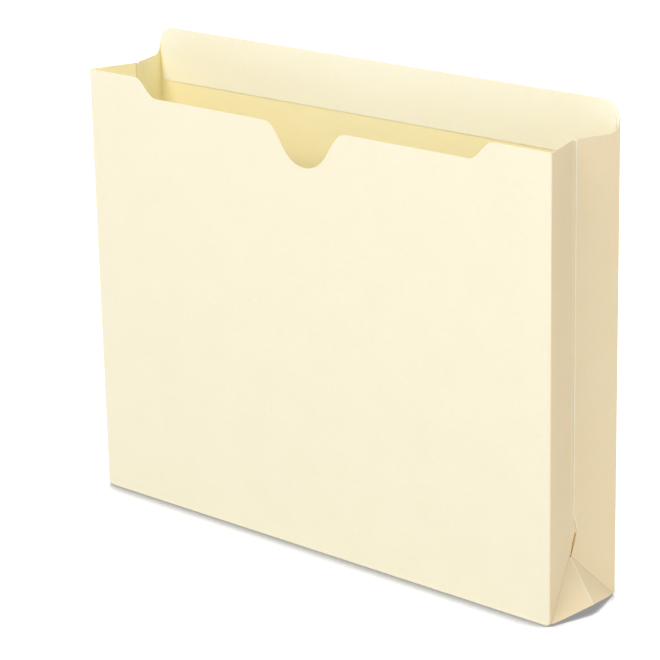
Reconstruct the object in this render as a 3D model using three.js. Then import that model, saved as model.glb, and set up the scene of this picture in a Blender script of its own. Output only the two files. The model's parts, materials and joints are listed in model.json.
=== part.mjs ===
// Expanding file jacket: a manila pocket with a straight, reinforced tab on its back panel.
// It stands open. One blank of 11 point stock is creased into two panels, a gusset on each
// side and one below, and four corner webs. The side gussets are lap seamed, and a strip of
// the same stock backs the tab.
// Millimetres. +X runs along the width, +Y from the front panel to the back, +Z up.

import * as THREE from 'three';

// Stock, films and the room that a crease takes
const stock = 0.28;
const creaseGap = 0.3;
const seamGlueThickness = 0.12;
const seamLayerGap = 0.09;
const stripStock = 0.25;
const stripGlueThickness = 0.06;
const stripLayerGap = 0.03;

// Panels
const overallWidth = 298.45;
const overallHeight = 241.3;
const pocketHeight = 226.8;
const footRadius = 5;
const tabCornerRadius = 9.5;

// Front edge: a long shallow recess between two ears, with a thumb notch in its middle
const recessWidth = 203;
const recessDepth = 9.5;
const recessRun = 15;
const recessEase = 6;
const notchWidth = 54;
const notchDepth = 20;
const notchShoulder = 11;
const notchBowl = 16.5;

// Tab strip
const stripDepth = 28.3;
const stripTopInset = 0.3;
const stripEndInset = 2.2;
const stripGlueMargin = 1.5;

// Gussets: each is two leaves, one crease apart, that fold inward to a line half way
const leafWidth = 25.65;
const restAngle = THREE.MathUtils.degToRad(17.5);
const gussetFillet = 6;
const gussetFilletSweep = THREE.MathUtils.degToRad(79);
const floorGap = 0.05;

// Lap seam on the back leaf of each side gusset
const seamReveal = 1.5;
const seamFlapWidth = 12.7;
const seamFlapTopInset = 0.6;
const seamFlapFootInset = 2;
const seamGlueMargin = 1.2;

// Corner webs and the ends of the bottom leaves
const webFootTrim = 3;
const webEdgeTrim = 0.6;
const webRidgeTrimLow = 2.3;
const webRidgeTrimHigh = 0.7;
const bottomEndTrim = 2.4;
const bottomEndRake = 17;

const curveSteps = 14;
const paperRoughness = 0.85;
const glueRoughness = 0.6;
const manila = '#f6ecd2';
const gussetManila = '#e9dcb9';
const gussetShadeManila = '#e0d1aa';
const stripManila = '#f8efd6';
const glueColour = '#efe2b4';

// Folded flat, the layers between a panel and the middle plane lie in this order, each with
// half a crease gap on both its faces: side leaf, corner web, bottom leaf.
const halfGap = creaseGap / 2;
const sideLayer = halfGap;
const webLine = sideLayer + stock + halfGap;
const bottomLayer = sideLayer + 2 * (stock + creaseGap);
const foldOffset = bottomLayer + stock + halfGap;

// Crease and fold lines that follow from the leaf width and the angle the jacket stands at
const creaseX = overallWidth / 2 - sideLayer - stock;
const creaseY = leafWidth * Math.cos(restAngle) + foldOffset * Math.sin(restAngle);
const bottomCreaseZ = bottomLayer + stock + floorGap;
const mitreZ = sideLayer + stock;
const panelFaceY = creaseY + halfGap;

// The webs lie so that the ridge between a pair of them meets on the middle plane
const webAngle = 2 * Math.atan(Math.SQRT2 * Math.tan(restAngle));
const mitreGap = halfGap * Math.SQRT2;

const paper = (colour) => new THREE.MeshStandardMaterial({
  color: colour,
  roughness: paperRoughness,
  metalness: 0,
});

const glue = () => new THREE.MeshStandardMaterial({
  color: glueColour,
  roughness: glueRoughness,
  metalness: 0,
});

// A flat sheet from an outline drawn along X and up Z. It spans Y from the start given.
function sheet(name, outline, startY, thickness, material) {
  const geometry = new THREE.ExtrudeGeometry(outline, {
    depth: thickness,
    bevelEnabled: false,
    curveSegments: curveSteps,
  });
  geometry.rotateX(Math.PI / 2);
  const mesh = new THREE.Mesh(geometry, material);
  mesh.name = name;
  mesh.position.y = startY + thickness;
  return mesh;
}

// The same sheet as a layer, a given depth from the crease line on the side that faces out
function layer(name, outline, depth, thickness, outward, material) {
  const startY = outward > 0 ? depth : -depth - thickness;
  return sheet(name, outline, startY, thickness, material);
}

// Panels

function footOfPanel(shape, halfWidth) {
  shape.moveTo(-halfWidth + footRadius, 0);
  shape.lineTo(halfWidth - footRadius, 0);
  shape.absarc(halfWidth - footRadius, footRadius, footRadius, -Math.PI / 2, 0, false);
}

function closeFoot(shape, halfWidth) {
  shape.lineTo(-halfWidth, footRadius);
  shape.absarc(-halfWidth + footRadius, footRadius, footRadius, Math.PI, Math.PI * 1.5, false);
}

// The two upper corners, from the right side over the top edge to the left side
function roundTop(shape, half, top, radius) {
  shape.absarc(half - radius, top - radius, radius, 0, Math.PI / 2, false);
  shape.lineTo(-half + radius, top);
  shape.absarc(-half + radius, top - radius, radius, Math.PI / 2, Math.PI, false);
}

function backPanelOutline() {
  const half = overallWidth / 2;
  const shape = new THREE.Shape();
  footOfPanel(shape, half);
  shape.lineTo(half, overallHeight - tabCornerRadius);
  roundTop(shape, half, overallHeight, tabCornerRadius);
  closeFoot(shape, half);
  return shape;
}

function frontPanelOutline() {
  const half = overallWidth / 2;
  const recess = recessWidth / 2;
  const ear = recess + recessRun;
  const recessZ = pocketHeight - recessDepth;
  const notch = notchWidth / 2;
  const notchZ = recessZ - notchDepth;
  const shape = new THREE.Shape();
  footOfPanel(shape, half);
  shape.lineTo(half, pocketHeight);
  shape.lineTo(ear, pocketHeight);
  shape.bezierCurveTo(ear - recessEase, pocketHeight, recess + recessEase, recessZ, recess, recessZ);
  shape.lineTo(notch, recessZ);
  shape.bezierCurveTo(notch - notchShoulder, recessZ, notchBowl, notchZ, 0, notchZ);
  shape.bezierCurveTo(-notchBowl, notchZ, -notch + notchShoulder, recessZ, -notch, recessZ);
  shape.lineTo(-recess, recessZ);
  shape.bezierCurveTo(-recess - recessEase, recessZ, -ear + recessEase, pocketHeight, -ear, pocketHeight);
  shape.lineTo(-half, pocketHeight);
  closeFoot(shape, half);
  return shape;
}

function frontPanel() {
  return sheet('front_panel', frontPanelOutline(), -panelFaceY - stock, stock, paper(manila));
}

function backPanel() {
  return sheet('back_panel', backPanelOutline(), panelFaceY, stock, paper(manila));
}

// The strip that doubles the tab, glued to the inner face of the back panel

function stripOutline(margin) {
  const half = overallWidth / 2 - stripEndInset - margin;
  const top = overallHeight - stripTopInset - margin;
  const bottom = overallHeight - stripDepth + margin;
  const radius = tabCornerRadius - margin;
  const shape = new THREE.Shape();
  shape.moveTo(-half, bottom);
  shape.lineTo(half, bottom);
  shape.lineTo(half, top - radius);
  roundTop(shape, half, top, radius);
  return shape;
}

function tabStrip() {
  const glueY = panelFaceY - stripLayerGap - stripGlueThickness;
  const stripY = glueY - stripLayerGap - stripStock;
  const group = new THREE.Group();
  group.add(sheet('tab_glue_film', stripOutline(stripGlueMargin), glueY, stripGlueThickness, glue()));
  group.add(sheet('tab_reinforcement_strip', stripOutline(0), stripY, stripStock, paper(stripManila)));
  return group;
}

// Side gussets. Each leaf is drawn from its crease line out to the fold, and is cut off
// below along the mitre, a line at 45 degrees where its corner web starts.

function frontLeafOutline() {
  const start = halfGap;
  const end = leafWidth - halfGap;
  const shape = new THREE.Shape();
  shape.moveTo(start, mitreZ + start + mitreGap);
  shape.lineTo(end, mitreZ + end + mitreGap);
  shape.lineTo(end, pocketHeight);
  shape.lineTo(start, pocketHeight);
  return shape;
}

// The back leaf runs up into the tab's side in a hollow corner, which stops just short of
// upright so that the leaf doesn't end in a feather edge.
function backLeafOutline() {
  const start = halfGap;
  const end = leafWidth - seamReveal;
  const filletX = start + gussetFillet;
  const filletZ = pocketHeight + gussetFillet;
  const fromBelow = -Math.PI / 2;
  const shape = new THREE.Shape();
  shape.moveTo(start, mitreZ + start + mitreGap);
  shape.lineTo(end, mitreZ + end + mitreGap);
  shape.lineTo(end, pocketHeight);
  shape.lineTo(filletX, pocketHeight);
  shape.absarc(filletX, filletZ, gussetFillet, fromBelow, fromBelow - gussetFilletSweep, true);
  shape.lineTo(start, filletZ);
  return shape;
}

function seamFlapOutline(nearInset, farInset, margin) {
  const start = leafWidth - halfGap - seamFlapWidth + nearInset;
  const end = leafWidth - farInset;
  const top = pocketHeight - seamFlapTopInset - margin;
  const lift = mitreZ + mitreGap + seamFlapFootInset + margin;
  const shape = new THREE.Shape();
  shape.moveTo(start, lift + start);
  shape.lineTo(end, lift + end);
  shape.lineTo(end, top);
  shape.lineTo(start, top);
  return shape;
}

// A corner web, in the plane of its leaf before it is folded out along the mitre
function webOutline() {
  const shape = new THREE.Shape();
  shape.moveTo(webFootTrim, webEdgeTrim);
  shape.lineTo(leafWidth - webRidgeTrimLow, webEdgeTrim);
  shape.lineTo(leafWidth - webRidgeTrimHigh, leafWidth - webRidgeTrimHigh - mitreGap);
  shape.lineTo(webFootTrim, webFootTrim - mitreGap);
  return shape;
}

// The place of a leaf: its crease line at the origin, +X along the leaf to the fold
function leafFrame(side, end) {
  const frame = new THREE.Group();
  frame.position.set(side * creaseX, end * creaseY, 0);
  frame.rotation.z = Math.atan2(-end * Math.cos(restAngle), -side * Math.sin(restAngle));
  return frame;
}

function cornerWeb(name, outward) {
  const frame = new THREE.Group();
  const mitre = new THREE.Vector3(1, 0, 1).normalize();
  frame.position.set(0, outward * webLine, mitreZ);
  frame.quaternion.setFromAxisAngle(mitre, outward * webAngle);
  frame.add(layer(name, webOutline(), halfGap, stock, -outward, paper(gussetManila)));
  return frame;
}

function frontLeaf(side, word) {
  const outward = -side;
  const name = `${word}_front_leaf`;
  const frame = leafFrame(side, -1);
  frame.add(layer(name, frontLeafOutline(), sideLayer, stock, outward, paper(gussetShadeManila)));
  frame.add(cornerWeb(`${word}_front_corner_web`, outward));
  return frame;
}

function backLeaf(side, word) {
  const outward = side;
  const leafName = `${word}_back_leaf`;
  const filmName = `${word}_seam_glue_line`;
  const frame = leafFrame(side, 1);
  const glueDepth = sideLayer - seamLayerGap - seamGlueThickness;
  const flapDepth = glueDepth - seamLayerGap - stock;
  const flap = seamFlapOutline(0, halfGap, 0);
  const film = seamFlapOutline(seamGlueMargin, seamReveal + seamGlueMargin, seamGlueMargin);
  frame.add(layer(leafName, backLeafOutline(), sideLayer, stock, outward, paper(gussetManila)));
  frame.add(layer(filmName, film, glueDepth, seamGlueThickness, outward, glue()));
  frame.add(layer(`${word}_seam_flap`, flap, flapDepth, stock, outward, paper(manila)));
  frame.add(cornerWeb(`${word}_back_corner_web`, outward));
  return frame;
}

// Bottom gusset: two leaves the width of the jacket, folded up to a line half way. Their ends
// rake in towards the fold, clear of the corner webs as they swing over.

function bottomLeaf(name, end) {
  const half = creaseX - bottomEndTrim;
  const shape = new THREE.Shape();
  shape.moveTo(-half, halfGap);
  shape.lineTo(half, halfGap);
  shape.lineTo(half - bottomEndRake, leafWidth - halfGap);
  shape.lineTo(-half + bottomEndRake, leafWidth - halfGap);
  const frame = new THREE.Group();
  frame.position.set(0, end * creaseY, bottomCreaseZ);
  frame.rotation.x = end * (Math.PI / 2 - restAngle);
  frame.add(layer(name, shape, bottomLayer, stock, -end, paper(gussetShadeManila)));
  return frame;
}

const jacket = new THREE.Group();
jacket.add(backPanel());
jacket.add(tabStrip());
jacket.add(frontPanel());
jacket.add(backLeaf(1, 'right'));
jacket.add(frontLeaf(1, 'right'));
jacket.add(backLeaf(-1, 'left'));
jacket.add(frontLeaf(-1, 'left'));
jacket.add(bottomLeaf('bottom_back_leaf', 1));
jacket.add(bottomLeaf('bottom_front_leaf', -1));

export default jacket;
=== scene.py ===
import json
import math

import bmesh
import bpy
from mathutils import Matrix, Vector


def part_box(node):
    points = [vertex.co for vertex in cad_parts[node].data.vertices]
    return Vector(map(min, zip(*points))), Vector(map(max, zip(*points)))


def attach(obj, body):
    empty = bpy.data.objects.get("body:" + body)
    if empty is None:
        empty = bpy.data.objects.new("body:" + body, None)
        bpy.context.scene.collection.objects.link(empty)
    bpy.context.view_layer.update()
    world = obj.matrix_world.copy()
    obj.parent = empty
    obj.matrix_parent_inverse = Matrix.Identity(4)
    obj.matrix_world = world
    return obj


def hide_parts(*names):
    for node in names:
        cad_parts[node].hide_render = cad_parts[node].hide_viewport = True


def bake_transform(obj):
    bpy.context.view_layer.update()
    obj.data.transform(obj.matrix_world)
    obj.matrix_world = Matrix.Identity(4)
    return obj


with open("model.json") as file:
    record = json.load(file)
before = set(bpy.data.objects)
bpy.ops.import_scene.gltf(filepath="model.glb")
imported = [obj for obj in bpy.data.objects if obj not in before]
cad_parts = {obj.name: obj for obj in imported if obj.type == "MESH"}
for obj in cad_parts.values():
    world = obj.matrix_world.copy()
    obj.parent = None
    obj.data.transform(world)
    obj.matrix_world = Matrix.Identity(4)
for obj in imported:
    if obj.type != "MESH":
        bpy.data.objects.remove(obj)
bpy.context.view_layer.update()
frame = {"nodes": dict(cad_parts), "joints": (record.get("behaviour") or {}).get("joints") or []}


# Camera. It stands to the right of the jacket and above it, and looks down on the front
# panel and the right gusset. A long lens keeps the two panels nearly parallel.

mm = 0.001
camera_place = Vector((852.9, -935.7, 507.3)) * mm
camera_yaw = 0.7444
camera_pitch_down = 0.3042
camera_roll = -0.0212
camera_lens_mm = 146.04
camera_film_mm = 36.0

camera_data = bpy.data.cameras.new("camera")
camera_data.lens = camera_lens_mm
camera_data.sensor_width = camera_film_mm
camera_data.clip_start = 0.05
camera_data.clip_end = 30.0
camera = bpy.data.objects.new("camera", camera_data)
bpy.context.scene.collection.objects.link(camera)
camera.matrix_world = (
    Matrix.Translation(camera_place)
    @ Matrix.Rotation(camera_yaw, 4, "Z")
    @ Matrix.Rotation(math.pi / 2 - camera_pitch_down, 4, "X")
    @ Matrix.Rotation(camera_roll, 4, "Z")
)
bpy.context.scene.camera = camera


# Front panel. One face of the blank, cut by a die from 11 point manila, with a long recess
# between two ears and a thumb notch in its middle. Scored creases join it to the gussets.

hinge = {joint["name"]: joint for joint in frame["joints"]}
crease_x = hinge["right_back_crease"]["pos_m"][0]
crease_y = hinge["right_back_crease"]["pos_m"][1]
bottom_crease_z = hinge["bottom_back_crease"]["pos_m"][2]

stock = 0.28 * mm
crease_inner = 0.15 * mm
crease_outer = crease_inner + stock
panel_inner_y = crease_y + crease_inner
pocket_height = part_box("front_panel")[1].z
panel_bow = 0.5 * mm

foot_radius = 2.8 * mm
foot_flat_until_y = 8.0 * mm
corner_step = 0.4 * mm
corner_steps = [corner_step * i for i in range(1, 9)]
sharp_from = math.radians(35)

recess_width = 203.0 * mm
recess_depth = 9.5 * mm
recess_run = 15.0 * mm
recess_ease = 6.0 * mm
notch_width = 54.0 * mm
notch_depth = 20.0 * mm
notch_shoulder = 11.0 * mm
notch_bowl = 16.5 * mm

manila_cream = (0.905, 0.85, 0.66)
manila_warm = (0.88, 0.81, 0.59)
pulp_cream = (0.97, 0.93, 0.78)
# Painted light: the inner faces' saturated yellow stands in for the warm light bounced about inside
# the pocket.
inner_bounce_yellow = (0.995, 0.905, 0.56)
inner_bounce_yellow_dark = (0.985, 0.87, 0.5)
# Painted light by height: below these heights the inner faces lose their painted yellow.
deep_pocket_manila = (0.95, 0.89, 0.7)
deep_pocket_below_z = 100.0 * mm
painted_bounce_above_z = 190.0 * mm
fibre_size = 1.6 * mm
fleck_size = 0.9 * mm
mottle_size = 22.0 * mm
relief_height = 0.1 * mm
sheen = 0.25
roughness_spread = 0.06
pale_fibre_gain = 1.04
dark_fleck_gain = 0.78


def spaced(low, high, count):
    """The ends of a span and the places that cut it into equal parts."""
    return [low + (high - low) * i / count for i in range(count + 1)]


def curve(start, handle_a, handle_b, end, steps=16):
    """Points of a cubic curve after its start, up to its end."""
    points = []
    for i in range(1, steps + 1):
        t = i / steps
        a, b, c, d = (1 - t) ** 3, 3 * (1 - t) ** 2 * t, 3 * (1 - t) * t * t, t**3
        points.append(tuple(a * p + b * q + c * r + d * s
                            for p, q, r, s in zip(start, handle_a, handle_b, end)))
    return points


def arc(centre, radius, start, end, steps=10):
    """Points of an arc from one angle to another, in degrees."""
    points = []
    for i in range(steps + 1):
        angle = math.radians(start + (end - start) * i / steps)
        points.append((centre[0] + radius * math.cos(angle), centre[1] + radius * math.sin(angle)))
    return points


def cut_outline(outline, columns, rows):
    """The outline as a flat mesh with grid cuts, so that the sheet can curve.

    Columns and rows are a count of equal parts, or a list of the places to cut.
    """
    flat = bmesh.new()
    flat.faces.new([flat.verts.new((a, 0.0, b)) for a, b in outline])
    for axis, cuts in ((0, columns), (2, rows)):
        if isinstance(cuts, int):
            reach = [v.co[axis] for v in flat.verts]
            cuts = spaced(min(reach), max(reach), cuts)[1:-1]
        for cut in cuts:
            place = [0.0, 0.0, 0.0]
            normal = [0.0, 0.0, 0.0]
            place[axis] = cut
            normal[axis] = 1.0
            everything = flat.verts[:] + flat.edges[:] + flat.faces[:]
            bmesh.ops.bisect_plane(flat, geom=everything, dist=1e-7, plane_co=place, plane_no=normal)
    bmesh.ops.triangulate(flat, faces=flat.faces[:])
    flat.verts.index_update()
    return flat


def round_corner(point):
    """Draws the four lower corners in, as paper does where three creases meet."""
    corner_x = crease_x + crease_outer - foot_radius
    across = abs(point.x) - corner_x
    down = foot_radius - point.z
    if across <= 0 or down <= 0:
        return point
    shrink = max(across, down) / math.hypot(across, down)
    fade = max(0.0, min(1.0, (abs(point.y) - foot_flat_until_y) / (crease_y - foot_flat_until_y)))
    shrink = 1.0 + (shrink - 1.0) * fade * fade
    drawn_x = math.copysign(corner_x + across * shrink, point.x)
    return Vector((drawn_x, point.y, foot_radius - down * shrink))


def close_mesh(solid, mesh):
    """Writes a closed bmesh into a mesh, smooth except along its sharp edges."""
    bmesh.ops.recalc_face_normals(solid, faces=solid.faces[:])
    for face in solid.faces:
        face.smooth = True
    solid.to_mesh(mesh)
    solid.free()
    mesh.set_sharp_from_angle(angle=sharp_from)


def finish_piece(name, solid, materials):
    """Makes the object from a closed bmesh whose faces already know their material."""
    mesh = bpy.data.meshes.new(name)
    close_mesh(solid, mesh)
    for material in materials:
        mesh.materials.append(material)
    piece = bpy.data.objects.new(name, mesh)
    bpy.context.scene.collection.objects.link(piece)
    return piece


def face_paper(layer, a, b):
    """Which of a sheet's papers a face has. 0 is the outside, 1 a cut edge and 2 the inside."""
    return 2 if layer == 0 else 0


class Depth:
    """Where a sheet's inner face lies in its own frame, and which way is out.

    A step moves it by so much more at each place.
    """

    def __init__(self, near, sign, step=None):
        self.near = near
        self.sign = sign
        self.step = step

    def __call__(self, a, b):
        moved = self.near + (self.step(a, b) if self.step else 0.0)
        return self.sign * moved


def paper_sheet(name, outline, depth, place, materials, columns=1, rows=1, bend=None, clip=None,
                paper_at=face_paper):
    """A closed sheet from an outline in its own frame, which the place carries into the jacket.

    depth(a, b) gives where the inner face lies at a along the frame's X and b along its Z.
    """
    flat = cut_outline(outline, columns, rows)
    solid = bmesh.new()
    layers = []
    for offset in (0.0, stock):
        layer = []
        for vert in flat.verts:
            a, b = vert.co.x, vert.co.z
            point = place @ Vector((a, depth(a, b) + offset * depth.sign, b))
            if bend:
                point = bend(point)
            layer.append(solid.verts.new(round_corner(point)))
        layers.append(layer)
    for face in flat.faces:
        corners = [vert.index for vert in face.verts]
        middle = face.calc_center_median()
        for layer in (0, 1):
            order = corners if layer == 0 else list(reversed(corners))
            made = solid.faces.new([layers[layer][i] for i in order])
            made.material_index = paper_at(layer, middle.x, middle.z)
    for edge in flat.edges:
        if edge.is_boundary:
            i, j = (vert.index for vert in edge.verts)
            made = solid.faces.new([layers[0][i], layers[0][j], layers[1][j], layers[1][i]])
            made.material_index = 1
    flat.free()
    if clip:
        clip(solid)
    return finish_piece(name, solid, materials)


def node(tree, kind, **settings):
    """A new node with its settings made."""
    made = tree.nodes.new(kind)
    for key, value in settings.items():
        setattr(made, key, value)
    return made


def noise(tree, coordinates, size, detail, stretch=(1.0, 1.0, 1.0)):
    """A noise whose features are about one size, drawn out by a stretch along each axis."""
    mapping = node(tree, "ShaderNodeMapping")
    mapping.inputs["Scale"].default_value = [1.0 / (size * s) for s in stretch]
    texture = node(tree, "ShaderNodeTexNoise")
    texture.inputs["Scale"].default_value = 1.0
    texture.inputs["Detail"].default_value = detail
    tree.links.new(coordinates, mapping.inputs["Vector"])
    tree.links.new(mapping.outputs["Vector"], texture.inputs["Vector"])
    return texture.outputs["Fac"]


def ramp(tree, value, low, high, low_out, high_out):
    """A value mapped from one range to another and held at its ends."""
    made = node(tree, "ShaderNodeMapRange")
    made.inputs["From Min"].default_value = low
    made.inputs["From Max"].default_value = high
    made.inputs["To Min"].default_value = low_out
    made.inputs["To Max"].default_value = high_out
    tree.links.new(value, made.inputs["Value"])
    return made.outputs["Result"]


def tint(tree, colour, factor, other):
    """The colour mixed with another by a factor."""
    made = node(tree, "ShaderNodeMix", data_type="RGBA")
    tree.links.new(factor, made.inputs["Factor"])
    tree.links.new(colour, made.inputs["A"])
    made.inputs["B"].default_value = (*other, 1.0)
    return made.outputs["Result"]


def stain(tree, colour, pattern, starts, full, strength, other):
    """The colour stained with another where a pattern is strong."""
    return tint(tree, colour, ramp(tree, pattern, starts, full, 0.0, strength), other)


def new_material(name, colour):
    """A material with its tree, its shader, its base colour and the place on the piece."""
    material = bpy.data.materials.new(name)
    material.use_nodes = True
    tree = material.node_tree
    base = node(tree, "ShaderNodeRGB").outputs[0]
    base.default_value = (*colour, 1.0)
    place = node(tree, "ShaderNodeTexCoord").outputs["Object"]
    return material, tree, tree.nodes["Principled BSDF"], base, place


def manila_paper(name, colour, shade, roughness=0.82, bump=0.05):
    """Manila stock: pale cream pulp, cloudy at arm's length, with fine fibres and flecks."""
    material, tree, shader, base, place = new_material(name, colour)
    pale = tuple(min(1.0, pale_fibre_gain * c) for c in colour)
    dark = tuple(dark_fleck_gain * c for c in shade)
    cloud = noise(tree, place, mottle_size, detail=3.0)
    fibres = noise(tree, place, fibre_size, detail=6.0, stretch=(3.0, 1.0, 1.0))
    cross_fibres = noise(tree, place, fibre_size, detail=6.0, stretch=(1.0, 1.0, 2.5))
    flecks = noise(tree, place, fleck_size, detail=2.0)

    mottled = stain(tree, base, cloud, starts=0.35, full=0.7, strength=0.3, other=shade)
    fibrous = stain(tree, mottled, fibres, starts=0.5, full=0.72, strength=0.35, other=shade)
    streaked = stain(tree, fibrous, cross_fibres, starts=0.55, full=0.75, strength=0.4, other=pale)
    flecked = stain(tree, streaked, flecks, starts=0.7, full=0.76, strength=0.2, other=dark)
    tree.links.new(flecked, shader.inputs["Base Color"])

    worn = ramp(tree, fibres, 0.3, 0.7, roughness - roughness_spread, roughness + roughness_spread)
    tree.links.new(worn, shader.inputs["Roughness"])
    relief = node(tree, "ShaderNodeMath", operation="ADD")
    tree.links.new(fibres, relief.inputs[0])
    tree.links.new(cross_fibres, relief.inputs[1])
    pressed = node(tree, "ShaderNodeBump")
    pressed.inputs["Strength"].default_value = bump
    pressed.inputs["Distance"].default_value = relief_height
    tree.links.new(relief.outputs["Value"], pressed.inputs["Height"])
    tree.links.new(pressed.outputs["Normal"], shader.inputs["Normal"])
    shader.inputs["Specular IOR Level"].default_value = sheen
    return material


panel_paper = manila_paper("panel manila", manila_cream, manila_warm)
# The pale cut-edge paper is the core on the cut faces, and also a painted highlight along the seams'
# raw edges.
cut_edge_and_highlight = manila_paper("die cut edge", pulp_cream, manila_cream, roughness=0.95, bump=0.3)
inner_paper = manila_paper("inner manila", inner_bounce_yellow, inner_bounce_yellow_dark)


def fade_painted_bounce_with_depth(material):
    """The inner faces' painted bounce light is full yellow near the pocket's mouth and fades to a
    paler manila deep in the pocket.
    """
    tree = material.node_tree
    shader = tree.nodes["Principled BSDF"]
    painted_bounce_colour = shader.inputs["Base Color"].links[0].from_socket
    height = node(tree, "ShaderNodeSeparateXYZ")
    tree.links.new(node(tree, "ShaderNodeTexCoord").outputs["Object"], height.inputs[0])
    deep_pocket_share = ramp(tree, height.outputs["Z"], deep_pocket_below_z, painted_bounce_above_z, 1.0, 0.0)
    tree.links.new(tint(tree, painted_bounce_colour, deep_pocket_share, deep_pocket_manila), shader.inputs["Base Color"])


fade_painted_bounce_with_depth(inner_paper)
panel_materials = (panel_paper, cut_edge_and_highlight, inner_paper)


def bowed(sign):
    """A panel's slight outward belly: nothing at its edges, most in the middle."""
    def bend(point):
        across = max(0.0, 1.0 - (point.x / crease_x) ** 2)
        up = max(0.0, math.sin(math.pi * min(1.0, max(0.0, point.z / pocket_height))))
        return point + Vector((0.0, sign * panel_bow * across * up, 0.0))
    return bend


def front_outline():
    """The front panel's edge: up the right side, then along the ears, the recess and the notch."""
    recess = recess_width / 2
    ear = recess + recess_run
    recess_z = pocket_height - recess_depth
    notch = notch_width / 2
    notch_z = recess_z - notch_depth
    right = [(crease_x, bottom_crease_z), (crease_x, pocket_height), (ear, pocket_height)]
    right += curve((ear, pocket_height), (ear - recess_ease, pocket_height),
                   (recess + recess_ease, recess_z), (recess, recess_z))
    right += [(notch, recess_z)]
    right += curve((notch, recess_z), (notch - notch_shoulder, recess_z),
                   (notch_bowl, notch_z), (0.0, notch_z))
    return right + [(-a, b) for a, b in reversed(right[:-1])]


def fine_at_corners(low, high, count, both_ends):
    """Grid lines across a sheet, close together where its corner is drawn round."""
    cuts = spaced(low, high, count)[1:-1] + [low + step for step in corner_steps]
    if both_ends:
        cuts += [high - step for step in corner_steps]
    return cuts


jacket_frame = Matrix.Identity(4)
panel_columns = fine_at_corners(-crease_x, crease_x, 24, True)
panel_rows = fine_at_corners(bottom_crease_z, pocket_height, 18, False)
front_sheet = paper_sheet("front_panel_sheet", front_outline(), Depth(panel_inner_y, -1.0),
                          jacket_frame, panel_materials, columns=panel_columns, rows=panel_rows,
                          bend=bowed(-1.0))
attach(front_sheet, "front_panel")
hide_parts("front_panel")


# Back panel. The other face of the blank, in the same manila, joined by creases to the same
# gussets. It stands higher than the front and its top is the straight tab, with both corners
# rounded by the die.

jacket_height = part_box("back_panel")[1].z
tab_corner_radius = 9.5 * mm
gusset_fillet = 6.0 * mm
# Painted light: the strip's manila is paler than the panels' so that the tab, which gets less light,
# shows as bright as the front.
strip_lit_cream = (0.99, 0.95, 0.77)
strip_lit_cream_dark = (0.98, 0.92, 0.71)


def rounded_top(half, top, radius):
    """The tab's top edge from right to left, with a quarter round at each end."""
    return (arc((half - radius, top - radius), radius, 0, 90)
            + arc((-half + radius, top - radius), radius, 90, 180))


def back_outline():
    """Up to the gusset's top the panel ends at its creases. Above them the tab is full width."""
    half = crease_x + crease_outer
    side = [(crease_x, bottom_crease_z), (crease_x, pocket_height + gusset_fillet),
            (half, pocket_height + gusset_fillet + crease_outer)]
    mirrored = [(-a, b) for a, b in reversed(side)]
    return side + rounded_top(half, jacket_height, tab_corner_radius) + mirrored


def back_paper(layer, a, b):
    """The tab's own inner face takes the strip's paler, painted light manila."""
    return 3 if layer == 0 and b > pocket_height else face_paper(layer, a, b)


strip_lit_paper = manila_paper("strip manila", strip_lit_cream, strip_lit_cream_dark)
back_sheet = paper_sheet("back_panel_sheet", back_outline(), Depth(panel_inner_y, 1.0),
                         jacket_frame, panel_materials + (strip_lit_paper,), columns=panel_columns,
                         rows=panel_rows + [pocket_height], bend=bowed(1.0), paper_at=back_paper)
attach(back_sheet, "back_panel")
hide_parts("back_panel")


# Tab strip. A second layer of manila, glued to the inner face of the back panel so that the
# tab doesn't curl or tear. Its lower edge shows as a line across the inside of the pocket.

strip_depth = 28.3 * mm
strip_stock = 0.25 * mm
strip_gap = 0.03 * mm
strip_glue = 0.06 * mm
strip_top_inset = 0.3 * mm
strip_end_inset = 2.2 * mm
strip_half = crease_x + crease_outer - strip_end_inset
strip_bottom = jacket_height - strip_depth
strip_top = jacket_height - strip_top_inset

strip_outline = [(-strip_half, strip_bottom), (strip_half, strip_bottom)]
strip_outline += rounded_top(strip_half, strip_top, tab_corner_radius)
strip_inner_y = panel_inner_y - 2 * strip_gap - strip_glue - strip_stock
strip_sheet = paper_sheet("tab_strip_sheet", strip_outline, Depth(strip_inner_y, 1.0),
                          jacket_frame, (strip_lit_paper, cut_edge_and_highlight, strip_lit_paper), columns=24, rows=3,
                          bend=bowed(1.0))
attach(strip_sheet, "back_panel")
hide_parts("tab_reinforcement_strip")


# Glue. A film of dried paste behind the tab strip and a line of it in each lap seam, rolled
# on before the layers were pressed together, so all of it is hidden between them.

glue_straw = (0.85, 0.76, 0.5)
glue_straw_shade = (0.72, 0.58, 0.3)
glue_streak_size = 3.0 * mm
glue_roughness = 0.45


def glue_and_slit_glow(name, colour, shade):
    """Paste that has dried half glossy, with streaks where it was rolled on. In amber it is the slit's
    painted glow.
    """
    material, tree, shader, base, place = new_material(name, colour)
    drawn = noise(tree, place, glue_streak_size, detail=4.0, stretch=(4.0, 1.0, 1.0))
    streaked = stain(tree, base, drawn, starts=0.4, full=0.7, strength=0.6, other=shade)
    tree.links.new(streaked, shader.inputs["Base Color"])
    shader.inputs["Roughness"].default_value = glue_roughness
    return material


glue = glue_and_slit_glow("dried glue", glue_straw, glue_straw_shade)
for glue_node in ("tab_glue_film", "right_seam_glue_line", "left_seam_glue_line"):
    mesh = frame["nodes"][glue_node].data
    mesh.materials.clear()
    mesh.materials.append(glue)


# Side gussets. Each is two leaves of the blank that fold inward to a scored line half way.
# The back leaf ends just short of that line, and the blank's far end is glued behind it as
# a flap.

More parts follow.
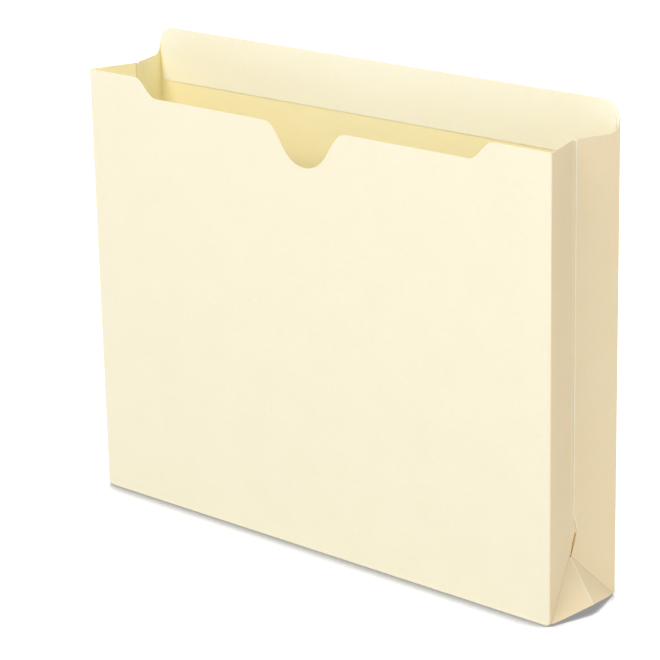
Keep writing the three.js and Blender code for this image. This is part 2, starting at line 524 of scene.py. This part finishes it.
mitre_z = hinge["right_back_mitre"]["pos_m"][2]
fold_x = hinge["right_gusset_fold"]["pos_m"][0]
leaf_width = 25.65 * mm
layer_pitch = stock + 2 * crease_inner
fold_radius_inner = crease_inner + 2 * layer_pitch
right_angle = math.pi / 2
open_turn = math.radians(176.0)
crease_spacing = 1.0 * mm

seam_reveal = 1.5 * mm
slit_start = 0.3 * mm
slit_reach = 3.4 * mm
slit_width = 1.0 * mm
slit_low_z = mitre_z + leaf_width - 1.0 * mm
slit_top_z = 38.5 * mm
edge_highlight_band = 0.45 * mm
raw_edge_low_z = slit_top_z + 9.0 * mm
raw_edge_spacing = 0.2 * mm
raw_edge_columns = 11
slit_swell = 1.4
slit_steps = 18
slit_spacing = 0.5 * mm
slit_rows = 19
slit_opens_from = 0.12
slit_opens_swell = 0.8

flap_depth = 12.85 * mm
flap_near = leaf_width - flap_depth
flap_top_inset = 0.6 * mm
flap_shoulder_z = slit_top_z + 2.0 * mm
flap_heel_run = 5.0 * mm
flap_heel_z = slit_top_z - 3.0 * mm
flap_neck = 1.0 * mm
flap_neck_z = slit_top_z - 0.5 * mm
flap_toe_rise = 0.2 * mm
flap_foot_steps = 12
flap_step_first = 0.3 * mm
flap_step_whole = layer_pitch
flap_step_run = 3.0 * mm
flap_cuts = [leaf_width - d * mm for d in (0.25, 0.5, 0.75, 1.0, 1.25, 1.5, 2.5, 3.5, 4.5, 8.0)]

# Painted shade: the gussets' outer faces are the panels' manila, made a darker, warmer tan for the
# shade they stand in.
gusset_shaded_tan = (0.88, 0.74, 0.495)
gusset_shaded_tan_dark = (0.855, 0.7, 0.44)
# Painted shade: the brown on the mitres and the bottom fold is the shade in the hollow of those
# creases.
crease_shade_brown = (0.62, 0.41, 0.19)
crease_shade_brown_dark = (0.56, 0.35, 0.15)
# Painted shade: the darker yellow on the pocket side of each gusset fold is the shade along the fold.
fold_shade_yellow = (0.9, 0.74, 0.38)
fold_shade_yellow_dark = (0.84, 0.66, 0.3)


def leaf_angle():
    """How far the leaves lean in from square, from the frame's own hinge lines."""
    across = crease_x - fold_x
    pivot_offset = fold_radius_inner + crease_outer
    reach = math.hypot(across, crease_y)
    return math.atan2(across, crease_y) + math.asin(pivot_offset / reach)


rest_angle = leaf_angle()
rest_turn = right_angle + rest_angle
gusset_shade_paper = manila_paper("gusset manila", gusset_shaded_tan, gusset_shaded_tan_dark)
crease_shade_paper = manila_paper("scored manila", crease_shade_brown, crease_shade_brown_dark)
fold_shade_paper = manila_paper("folded inner manila", fold_shade_yellow, fold_shade_yellow_dark)
gusset_materials = (gusset_shade_paper, cut_edge_and_highlight, inner_paper)


def leaf_place(side, end):
    """A leaf's frame, with its crease at the origin and its fold along +X.

    Side 1 is the right gusset and end 1 is the leaf at the back panel.
    """
    upward = Vector((0.0, 0.0, 1.0))
    direction = Vector((-side * math.sin(rest_angle), -end * math.cos(rest_angle), 0.0))
    turn = Matrix((direction, upward.cross(direction), upward)).transposed()
    return Matrix.Translation((side * crease_x, end * crease_y, 0.0)) @ turn.to_4x4()


def front_leaf_outline():
    """A strip from the top of the pocket down to the 45 degree mitre."""
    return [(0.0, mitre_z), (leaf_width, mitre_z + leaf_width), (leaf_width, pocket_height),
            (0.0, pocket_height)]


def slit_edge(z):
    """How far the back leaf's raw edge stands off the fold: most at the top of the slit."""
    if z > slit_top_z:
        t = min(1.0, (z - slit_top_z) / (raw_edge_low_z - slit_top_z))
        return slit_reach + (seam_reveal - slit_reach) * t * t * (3 - 2 * t)
    t = max(0.0, (z - slit_low_z) / (slit_top_z - slit_low_z))
    return slit_start + (slit_reach - slit_start) * math.sin(t * math.pi / 2) ** slit_swell


def back_leaf_outline():
    """The back leaf ends in the seam's raw edge, just short of the fold, and its top sweeps up."""
    slit = spaced(slit_low_z, slit_top_z, slit_steps)[1:]
    above_slit = spaced(slit_top_z, raw_edge_low_z, slit_steps)[1:]
    outline = [(0.0, mitre_z), (leaf_width - slit_start, mitre_z + leaf_width - slit_start)]
    outline += [(leaf_width - slit_edge(z), z) for z in slit + above_slit if z > mitre_z + leaf_width]
    outline += [(leaf_width - seam_reveal, pocket_height)]
    return outline + arc((gusset_fillet, pocket_height + gusset_fillet), gusset_fillet, -90, -180, 12)


def seam_flap_outline():
    """The flap lies behind the back leaf. At its foot it narrows to the strip beside the slit."""
    top = pocket_height - flap_top_inset
    toe_z = mitre_z + leaf_width
    outline = [(flap_near, flap_shoulder_z), (flap_near + flap_heel_run, flap_heel_z),
               (leaf_width - slit_reach - flap_neck, flap_neck_z)]
    for i, z in enumerate(spaced(slit_top_z, toe_z, flap_foot_steps)):
        t = i / flap_foot_steps
        along_slit = min(1.0, slit_opens_from + (1.0 - slit_opens_from) * t)
        opening = slit_width * math.sin(math.pi * along_slit) ** slit_opens_swell
        outline.append((leaf_width - max(0.0, slit_edge(z) - opening - slit_start * t), z))
    return outline + [(leaf_width, toe_z + flap_toe_rise), (leaf_width, top), (flap_near, top)]


def joggle(a, b):
    """The flap leaves the fold in the leaf's plane, dips under the raw edge, then lies flat."""
    t = max(0.0, min(1.0, (leaf_width - a) / seam_reveal))
    u = max(0.0, min(1.0, (leaf_width - seam_reveal - a) / flap_step_run))
    return -flap_step_first * t * t * (3 - 2 * t) - (flap_step_whole - flap_step_first) * u


def maths(tree, operation, first, second=0.0):
    """The outcome of one operation on two numbers or sockets."""
    made = node(tree, "ShaderNodeMath", operation=operation)
    for value, socket in ((first, made.inputs[0]), (second, made.inputs[1])):
        if isinstance(value, (int, float)):
            socket.default_value = value
        else:
            tree.links.new(value, socket)
    return made.outputs[0]


def shaping_tree(name, **inputs):
    """A Geometry Nodes tree with nothing in it but its named inputs and one output."""
    tree = bpy.data.node_groups.new(name, "GeometryNodeTree")
    for kind, labels in inputs.items():
        for label in labels:
            tree.interface.new_socket(label, in_out="INPUT", socket_type=f"NodeSocket{kind}")
    tree.interface.new_socket("Shape", in_out="OUTPUT", socket_type="NodeSocketGeometry")
    return tree, node(tree, "NodeGroupInput").outputs, node(tree, "NodeGroupOutput").inputs[0]


def shaped_mesh(piece, tree, values):
    """The plain mesh that a tree makes of a piece. The tree is off the piece again after it."""
    modifier = piece.modifiers.new(tree.name, "NODES")
    modifier.node_group = tree
    sockets = {item.name: item.identifier for item in tree.interface.items_tree}
    for label, value in values.items():
        modifier[sockets[label]] = value
    bpy.context.view_layer.update()
    shaped = piece.evaluated_get(bpy.context.evaluated_depsgraph_get())
    mesh = bpy.data.meshes.new_from_object(shaped)
    piece.modifiers.remove(modifier)
    return mesh


def scored_crease_nodes():
    """Nodes for one crease: a slab of paper swept round the scored line from sheet to sheet."""
    tree, given, result = shaping_tree(
        "scored crease", Float=("Length", "Turn", "Start radius", "End radius", "Settled", "Stock"),
        Int=("Steps", "Rows"), Material=("Near paper", "Far paper", "Cut edge"))

    slab = node(tree, "GeometryNodeMeshCube")
    slab.inputs["Size"].default_value = (1.0, 1.0, 1.0)
    slab.inputs["Vertices Y"].default_value = 2
    tree.links.new(given["Steps"], slab.inputs["Vertices X"])
    tree.links.new(given["Rows"], slab.inputs["Vertices Z"])
    place = node(tree, "ShaderNodeSeparateXYZ")
    tree.links.new(node(tree, "GeometryNodeInputPosition").outputs[0], place.inputs[0])
    round_share = maths(tree, "ADD", place.outputs["X"], 0.5)
    through = maths(tree, "ADD", place.outputs["Y"], 0.5)
    along = maths(tree, "ADD", place.outputs["Z"], 0.5)

    kept = node(tree, "GeometryNodeCaptureAttribute", domain="FACE")
    kept.capture_items.new("BOOLEAN", "Near")
    kept.capture_items.new("BOOLEAN", "Cut")
    tree.links.new(slab.outputs["Mesh"], kept.inputs["Geometry"])
    # The slab is 1 wide and centred, so its faces lie at 0.5.
    at_face = 0.499
    tree.links.new(maths(tree, "LESS_THAN", place.outputs["Y"], -at_face), kept.inputs["Near"])
    ends = maths(tree, "ABSOLUTE", place.outputs["Z"])
    tree.links.new(maths(tree, "GREATER_THAN", ends, at_face), kept.inputs["Cut"])

    eased = node(tree, "ShaderNodeMapRange", interpolation_type="SMOOTHSTEP")
    tree.links.new(round_share, eased.inputs["Value"])
    tree.links.new(given["Settled"], eased.inputs["From Max"])
    tree.links.new(given["Start radius"], eased.inputs["To Min"])
    tree.links.new(given["End radius"], eased.inputs["To Max"])
    depth = maths(tree, "MULTIPLY", through, given["Stock"])
    radius = maths(tree, "ADD", eased.outputs["Result"], depth)
    angle = maths(tree, "MULTIPLY", round_share, given["Turn"])
    swept = node(tree, "ShaderNodeCombineXYZ")
    tree.links.new(maths(tree, "MULTIPLY", radius, maths(tree, "COSINE", angle)), swept.inputs["X"])
    tree.links.new(maths(tree, "MULTIPLY", radius, maths(tree, "SINE", angle)), swept.inputs["Y"])
    tree.links.new(maths(tree, "MULTIPLY", along, given["Length"]), swept.inputs["Z"])
    moved = node(tree, "GeometryNodeSetPosition")
    tree.links.new(kept.outputs["Geometry"], moved.inputs["Geometry"])
    tree.links.new(swept.outputs["Vector"], moved.inputs["Position"])
    real = node(tree, "GeometryNodeRealizeInstances")
    tree.links.new(moved.outputs["Geometry"], real.inputs["Geometry"])
    flow = real.outputs["Geometry"]
    for label, chosen in (("Far paper", None), ("Near paper", "Near"), ("Cut edge", "Cut")):
        finish = node(tree, "GeometryNodeSetMaterial")
        tree.links.new(flow, finish.inputs["Geometry"])
        tree.links.new(given[label], finish.inputs["Material"])
        if chosen:
            tree.links.new(kept.outputs[chosen], finish.inputs["Selection"])
        flow = finish.outputs["Geometry"]
    tree.links.new(flow, result)
    return tree


crease_nodes = scored_crease_nodes()


def scored_crease(name, line, arm, turn, radii, papers, bodies, steps=11, settled=1.0):
    """A crease as a plain mesh. The arm points from the scored line to where the paper starts.

    With two bodies it is baked in place and attached to neither; one alone holds it still. The end
    radius is reached at the settled share of the turn and held from there on.
    """
    start, end = line
    length = (end - start).length
    crease = bpy.data.objects.new(name, bpy.data.meshes.new(name))
    bpy.context.scene.collection.objects.link(crease)
    rows = max(2, round(length / crease_spacing))
    mesh = shaped_mesh(crease, crease_nodes, {
        "Length": length, "Turn": turn, "Start radius": radii[0], "End radius": radii[1],
        "Settled": settled, "Stock": stock, "Steps": steps, "Rows": rows,
        "Near paper": papers[0], "Far paper": papers[1], "Cut edge": cut_edge_and_highlight})
    along = (end - start).normalized()
    frame_turn = Matrix((arm, along.cross(arm), along)).transposed()
    mesh.transform(Matrix.Translation(start) @ frame_turn.to_4x4())
    solid = bmesh.new()
    solid.from_mesh(mesh)
    for vert in solid.verts:
        vert.co = round_corner(vert.co)
    close_mesh(solid, mesh)
    mesh.name = name
    crease.data = mesh
    if len(bodies) == 2:
        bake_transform(crease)
    else:
        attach(crease, bodies[0])


def seam_edge_highlight(layer, a, b):
    """A painted highlight: a pale band of the cut edge's paper along the outside of the seam's raw
    edge, where it catches the light.
    """
    if layer == 1 and b > slit_top_z and a > leaf_width - slit_edge(b) - edge_highlight_band:
        return 1
    return face_paper(layer, a, b)


edge_highlight_in = leaf_width - seam_reveal - edge_highlight_band
leaf_columns = fine_at_corners(0.0, leaf_width, 4, False)
leaf_columns += [edge_highlight_in - raw_edge_spacing * i for i in range(raw_edge_columns)]
leaf_rows = fine_at_corners(mitre_z, pocket_height, 20, False)
leaf_rows += [slit_top_z + slit_spacing * i for i in range(slit_rows)]

for word, side in (("right", 1.0), ("left", -1.0)):
    for end_word, end in (("back", 1.0), ("front", -1.0)):
        outward = side * end
        place = leaf_place(side, end)
        body = f"{word}_{end_word}_leaf"
        panel_body = f"{end_word}_panel"
        outline = back_leaf_outline() if end > 0 else front_leaf_outline()
        leaf = paper_sheet(f"{word}_{end_word}_leaf_sheet", outline, Depth(crease_inner, outward),
                           place, gusset_materials, columns=leaf_columns, rows=leaf_rows,
                           paper_at=seam_edge_highlight if end > 0 else face_paper)
        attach(leaf, body)
        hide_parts(body)

        top = pocket_height + (gusset_fillet if end > 0 else 0.0)
        line = (Vector((side * crease_x, end * crease_y, mitre_z)),
                Vector((side * crease_x, end * crease_y, top)))
        has_joint = end > 0 or side > 0
        turn = rest_turn if has_joint else open_turn
        scored_crease(f"{word}_{end_word}_crease", line, Vector((0.0, end, 0.0)), -outward * turn,
                      (crease_inner, crease_inner), (inner_paper, gusset_shade_paper),
                      (panel_body, body) if has_joint else (panel_body,))

    flap = paper_sheet(f"{word}_seam_flap_sheet", seam_flap_outline(),
                       Depth(crease_inner, side, joggle), leaf_place(side, 1.0), gusset_materials,
                       columns=flap_cuts, rows=20)
    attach(flap, f"{word}_back_leaf")
    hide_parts(f"{word}_seam_flap")

    fold_low = mitre_z + leaf_width
    line = (Vector((side * fold_x, 0.0, fold_low)), Vector((side * fold_x, 0.0, pocket_height)))
    away = Vector((-side * math.cos(rest_angle), math.sin(rest_angle), 0.0))
    scored_crease(f"{word}_fold", line, away, side * 2 * rest_angle,
                  (fold_radius_inner, fold_radius_inner), (gusset_shade_paper, fold_shade_paper),
                  (f"{word}_back_leaf", f"{word}_front_leaf"), steps=9)


# Seam ends. At the foot of each lap seam the raw edge curves away from the fold and leaves a
# short slit. An amber bead along it is painted light, the warm glow seen in the slit.

bead_radius = 0.3 * mm
bead_unevenness = 0.5
bead_depth = -0.1 * mm
bead_off_edge = 0.4 * mm
bead_low_z = slit_low_z + 2.0 * mm
bead_top_z = slit_top_z - 0.5 * mm
bead_lumps_per_metre = 700.0
amber = (0.78, 0.46, 0.13)
amber_shade = (0.5, 0.26, 0.08)


def bead_nodes():
    """Nodes for the slit's bead: a round cord along a path, uneven in width, which carries the painted
    glow.
    """
    tree, given, result = shaping_tree("glue bead", Geometry=("Path",),
                                       Float=("Radius", "Unevenness"), Material=("Glue",))
    path = node(tree, "GeometryNodeMeshToCurve")
    tree.links.new(given["Path"], path.inputs["Mesh"])
    lumps = node(tree, "ShaderNodeTexNoise", noise_dimensions="3D")
    lumps.inputs["Scale"].default_value = bead_lumps_per_metre
    share = node(tree, "GeometryNodeSplineParameter")
    taper = maths(tree, "SINE", maths(tree, "MULTIPLY", share.outputs["Factor"], math.pi))
    uneven = maths(tree, "MULTIPLY", lumps.outputs["Fac"], given["Unevenness"])
    width = maths(tree, "MULTIPLY", maths(tree, "ADD", taper, uneven), given["Radius"])
    profile = node(tree, "GeometryNodeCurvePrimitiveCircle")
    profile.inputs["Resolution"].default_value = 10
    profile.inputs["Radius"].default_value = 1.0
    swept = node(tree, "GeometryNodeCurveToMesh")
    tree.links.new(path.outputs["Curve"], swept.inputs["Curve"])
    tree.links.new(profile.outputs["Curve"], swept.inputs["Profile Curve"])
    tree.links.new(width, swept.inputs["Scale"])
    swept.inputs["Fill Caps"].default_value = True
    real = node(tree, "GeometryNodeRealizeInstances")
    tree.links.new(swept.outputs["Mesh"], real.inputs["Geometry"])
    finish = node(tree, "GeometryNodeSetMaterial")
    tree.links.new(real.outputs["Geometry"], finish.inputs["Geometry"])
    tree.links.new(given["Glue"], finish.inputs["Material"])
    tree.links.new(finish.outputs["Geometry"], result)
    return tree


# Painted light: the amber of the bead is the warm glow seen in the slit.
slit_glow_finish = glue_and_slit_glow("amber glue", amber, amber_shade)
slit_glow_bead_nodes = bead_nodes()

for word, side in (("right", 1.0), ("left", -1.0)):
    place = leaf_place(side, 1.0)
    points = []
    for z in spaced(bead_low_z, bead_top_z, 24):
        along_leaf = leaf_width - slit_edge(z) + bead_off_edge
        points.append(place @ Vector((along_leaf, side * bead_depth, z)))
    path_mesh = bpy.data.meshes.new("bead path")
    path_mesh.from_pydata(points, [(i, i + 1) for i in range(len(points) - 1)], [])
    bead = bpy.data.objects.new(f"{word}_slit_glow_bead", path_mesh)
    bpy.context.scene.collection.objects.link(bead)
    bead.data = shaped_mesh(bead, slit_glow_bead_nodes, {
        "Radius": bead_radius, "Unevenness": bead_unevenness, "Glue": slit_glow_finish})
    bead.data.shade_smooth()
    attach(bead, f"{word}_back_leaf")


# Corner webs. Below each mitre the gusset's paper folds out again in two triangles. They meet
# in a ridge that runs down to the corner of the bottom gusset, and only creases hold them.

web_line = layer_pitch
web_turn = 2 * math.atan(math.sqrt(2) * math.tan(rest_angle))
web_foot_gap = 0.35 * mm
mitre_axis = Vector((1.0, 0.0, 1.0)).normalized()
mitre_low = 0.6 * mm
mitre_high = leaf_width - 0.2 * mm


def web_place(side, end):
    """A web's frame. It is the leaf's frame, moved to the mitre and turned about it."""
    outward = side * end
    turn = Matrix.Rotation(outward * web_turn, 4, mitre_axis)
    return leaf_place(side, end) @ Matrix.Translation((0.0, outward * web_line, mitre_z)) @ turn


def ridge_point(side, b):
    """Where the outer face of a web, at height b of its own plane, reaches the middle plane."""
    place = web_place(side, -1.0)
    near = place @ Vector((0.0, side * crease_inner, b))
    step = place.to_3x3() @ Vector((1.0, 0.0, 0.0))
    return near - step * (near.y / step.y)


ridge_bend = 0.92 * mm
ridge_radius = ridge_bend + stock
web_slope = abs((web_place(1.0, -1.0).to_3x3() @ Vector((0.0, 1.0, 0.0))).y)
ridge_half = ridge_radius * web_slope
ridge_lip = math.radians(48.0)
ridge_apex = 0.978 * leaf_width


def cut_at_ridge(end):
    """Trims a web just short of the middle plane, where the ridge takes over."""
    def clip(solid):
        everything = solid.verts[:] + solid.edges[:] + solid.faces[:]
        bmesh.ops.bisect_plane(solid, geom=everything, dist=1e-7,
                               plane_co=(0.0, end * ridge_half, 0.0), plane_no=(0.0, -end, 0.0),
                               clear_outer=True)
        edges = [edge for edge in solid.edges if edge.is_boundary]
        for face in bmesh.ops.holes_fill(solid, edges=edges)["faces"]:
            face.material_index = 1
    return clip


web_outline = [(web_foot_gap, web_foot_gap), (leaf_width, web_foot_gap), (leaf_width, leaf_width)]
web_columns = fine_at_corners(0.0, leaf_width, 6, False)
web_materials = (inner_paper, cut_edge_and_highlight, gusset_shade_paper)

for word, side in (("right", 1.0), ("left", -1.0)):
    for end_word, end in (("back", 1.0), ("front", -1.0)):
        outward = side * end
        web = paper_sheet(f"{word}_{end_word}_web_sheet", web_outline, Depth(crease_inner, -outward),
                          web_place(side, end), web_materials, columns=web_columns, rows=web_columns,
                          clip=cut_at_ridge(end))
        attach(web, f"{word}_{end_word}_corner_web")
        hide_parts(f"{word}_{end_word}_corner_web")

        place = leaf_place(side, end)
        line = (place @ Vector((mitre_low, outward * web_line, mitre_z + mitre_low)),
                place @ Vector((mitre_high, outward * web_line, mitre_z + mitre_high)))
        arm = place.to_3x3() @ Vector((0.0, -outward, 0.0))
        scored_crease(f"{word}_{end_word}_mitre", line, arm, outward * web_turn,
                      (crease_inner, crease_inner), (crease_shade_paper, inner_paper),
                      (f"{word}_{end_word}_leaf", f"{word}_{end_word}_corner_web"), steps=7)

    foot = ridge_point(side, web_foot_gap)
    apex = ridge_point(side, ridge_apex)
    down_ridge = (foot - apex).normalized()
    lean = math.asin(web_slope)
    front_normal = (web_place(side, -1.0).to_3x3() @ Vector((0.0, -side, 0.0))).normalized()
    if front_normal.x * side < 0:
        front_normal = -front_normal
    middle_normal = Vector((front_normal.x, 0.0, front_normal.z)).normalized()
    inward = -middle_normal * (ridge_radius / math.cos(lean))
    ridge_turn = 2 * lean if down_ridge.cross(front_normal).y > 0 else -2 * lean
    ridge_turn += math.copysign(ridge_lip, ridge_turn)
    scored_crease(f"{word}_ridge", (apex + inward, foot + inward), front_normal, ridge_turn,
                  (ridge_bend, ridge_bend), (inner_paper, panel_paper), (f"{word}_front_corner_web",),
                  steps=7)


# Bottom gusset. Two more leaves of the blank, as wide as the jacket, folded up to a scored
# line half way. They turn up from the panels' feet in rounded creases.

bottom_layer = fold_radius_inner
bottom_fold_z = hinge["bottom_fold"]["pos_m"][2]
bottom_flare = 1.6 * mm


def bottom_place(end):
    """A bottom leaf's frame, with its crease along X and its fold in the direction of +Z."""
    direction = Vector((0.0, -end * math.cos(rest_angle), math.sin(rest_angle)))
    sideways = Vector((1.0, 0.0, 0.0))
    normal = direction.cross(sideways)
    turn = Matrix((sideways, normal, direction)).transposed()
    return Matrix.Translation((0.0, end * crease_y, bottom_crease_z)) @ turn.to_4x4()


fold_end = crease_x + bottom_flare
bottom_outline = [(-crease_x, 0.0), (crease_x, 0.0), (fold_end, leaf_width), (-fold_end, leaf_width)]
bottom_columns = fine_at_corners(-crease_x, crease_x, 24, True)

for end_word, end in (("back", 1.0), ("front", -1.0)):
    place = bottom_place(end)
    down = -1.0 if (place.to_3x3() @ Vector((0.0, 1.0, 0.0))).z > 0 else 1.0
    body = f"bottom_{end_word}_leaf"
    leaf = paper_sheet(f"bottom_{end_word}_leaf_sheet", bottom_outline, Depth(bottom_layer, down),
                       place, gusset_materials, columns=bottom_columns, rows=8)
    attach(leaf, body)
    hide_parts(body)

    line = (Vector((-crease_x, end * crease_y, bottom_crease_z)),
            Vector((crease_x, end * crease_y, bottom_crease_z)))
    has_joint = end > 0
    turn = rest_turn if has_joint else open_turn
    scored_crease(f"bottom_{end_word}_crease", line, Vector((0.0, end, 0.0)), -end * turn,
                  (crease_inner, bottom_layer), (inner_paper, panel_paper),
                  ("back_panel", body) if has_joint else ("front_panel",),
                  steps=13 if has_joint else 21, settled=rest_turn / turn)

line = (Vector((-fold_end, 0.0, bottom_fold_z)), Vector((fold_end, 0.0, bottom_fold_z)))
fold_start = Vector((0.0, math.sin(rest_angle), math.cos(rest_angle)))
scored_crease("bottom_fold_crease", line, fold_start, 2 * rest_angle, (crease_inner, crease_inner),
              (crease_shade_paper, inner_paper), ("bottom_back_leaf", "bottom_front_leaf"), steps=7)


# Floor and light. A white floor that keeps only the jacket's shadow and a painted contact shadow
# along its foot, a large soft key light above the front, two weaker fills, and an even white surround.

white = (1.0, 1.0, 1.0, 1.0)
black = (0.0, 0.0, 0.0, 1.0)
floor_grey = (0.8, 0.8, 0.8, 1.0)
floor_half = 6.0
contact_reach = 20.0 * mm
contact_closed = 0.5
contact_clear = 0.86
painted_contact_shade = 0.12
painted_contact_glow = 0.28
clear_glow = 0.45
far_from = 0.8
far_until = 4.0
most_far_glow = 0.6
surround_strength = 0.48
light_size = 1.2
light_target = Vector((0.0, 0.0, 0.12))

floor_mesh = bpy.data.meshes.new("floor")
floor_mesh.from_pydata([(-floor_half, -floor_half, 0), (floor_half, -floor_half, 0),
                        (floor_half, floor_half, 0), (-floor_half, floor_half, 0)], [], [(0, 1, 2, 3)])
floor = bpy.data.objects.new("floor", floor_mesh)
bpy.context.scene.collection.objects.link(floor)


def white_floor():
    """White where it is seen, with a painted contact shadow where the jacket stands on it, and grey
    for other light.
    """
    material = bpy.data.materials.new("white floor")
    material.use_nodes = True
    tree = material.node_tree
    shader = tree.nodes["Principled BSDF"]
    shader.inputs["Roughness"].default_value = 1.0
    shader.inputs["Specular IOR Level"].default_value = 0.0
    rays = node(tree, "ShaderNodeLightPath").outputs
    seen = maths(tree, "MAXIMUM", rays["Is Camera Ray"], rays["Is Glossy Ray"])
    # Painted shadow: this occlusion darkens the seen floor near the jacket and dims its glow there.
    contact = node(tree, "ShaderNodeAmbientOcclusion", samples=8)
    contact.inputs["Distance"].default_value = contact_reach
    open_share = contact.outputs["AO"]

    seen_floor = node(tree, "ShaderNodeMix", data_type="RGBA")
    seen_floor.inputs["A"].default_value = black
    seen_floor.inputs["B"].default_value = white
    tree.links.new(ramp(tree, open_share, contact_closed, contact_clear, painted_contact_shade, 1.0),
                   seen_floor.inputs["Factor"])
    colour = node(tree, "ShaderNodeMix", data_type="RGBA")
    colour.inputs["A"].default_value = floor_grey
    tree.links.new(seen, colour.inputs["Factor"])
    tree.links.new(seen_floor.outputs["Result"], colour.inputs["B"])
    tree.links.new(colour.outputs["Result"], shader.inputs["Base Color"])

    away = node(tree, "ShaderNodeVectorMath", operation="LENGTH")
    tree.links.new(node(tree, "ShaderNodeTexCoord").outputs["Object"], away.inputs[0])
    near_glow = ramp(tree, open_share, contact_closed, contact_clear, painted_contact_glow, clear_glow)
    far_glow = ramp(tree, away.outputs["Value"], far_from, far_until, 0.0, most_far_glow)
    glow = node(tree, "ShaderNodeEmission")
    tree.links.new(maths(tree, "MULTIPLY", seen, maths(tree, "ADD", near_glow, far_glow)),
                   glow.inputs["Strength"])
    whitened = node(tree, "ShaderNodeAddShader")
    tree.links.new(shader.outputs["BSDF"], whitened.inputs[0])
    tree.links.new(glow.outputs["Emission"], whitened.inputs[1])
    tree.links.new(whitened.outputs["Shader"], tree.nodes["Material Output"].inputs["Surface"])
    return material


floor_mesh.materials.append(white_floor())

surround = bpy.data.worlds.new("surround")
surround.use_nodes = True
bpy.context.scene.world = surround
surround_tree = surround.node_tree
soft_light = surround_tree.nodes["Background"]
soft_light.inputs["Color"].default_value = white
soft_light.inputs["Strength"].default_value = surround_strength
white_sky = node(surround_tree, "ShaderNodeBackground")
white_sky.inputs["Color"].default_value = white
white_sky.inputs["Strength"].default_value = 1.0
rays = node(surround_tree, "ShaderNodeLightPath").outputs
sky = node(surround_tree, "ShaderNodeMixShader")
surround_tree.links.new(rays["Is Camera Ray"], sky.inputs["Fac"])
surround_tree.links.new(soft_light.outputs["Background"], sky.inputs[1])
surround_tree.links.new(white_sky.outputs["Background"], sky.inputs[2])
surround_tree.links.new(sky.outputs["Shader"], surround_tree.nodes["World Output"].inputs["Surface"])

for name, spot, watts in (("key", (0.1, -1.5, 1.62), 25.6), ("side fill", (2.2, -0.4, 0.7), 8.8),
                          ("back fill", (-0.3, 1.7, 1.4), 16.0)):
    light = bpy.data.lights.new(name, "AREA")
    light.shape = "DISK"
    light.size = light_size
    light.energy = watts
    lamp = bpy.data.objects.new(name, light)
    bpy.context.scene.collection.objects.link(lamp)
    aim = (light_target - Vector(spot)).to_track_quat("-Z", "Y")
    lamp.matrix_world = Matrix.Translation(spot) @ aim.to_matrix().to_4x4()

bpy.context.scene.view_settings.view_transform = "Standard"
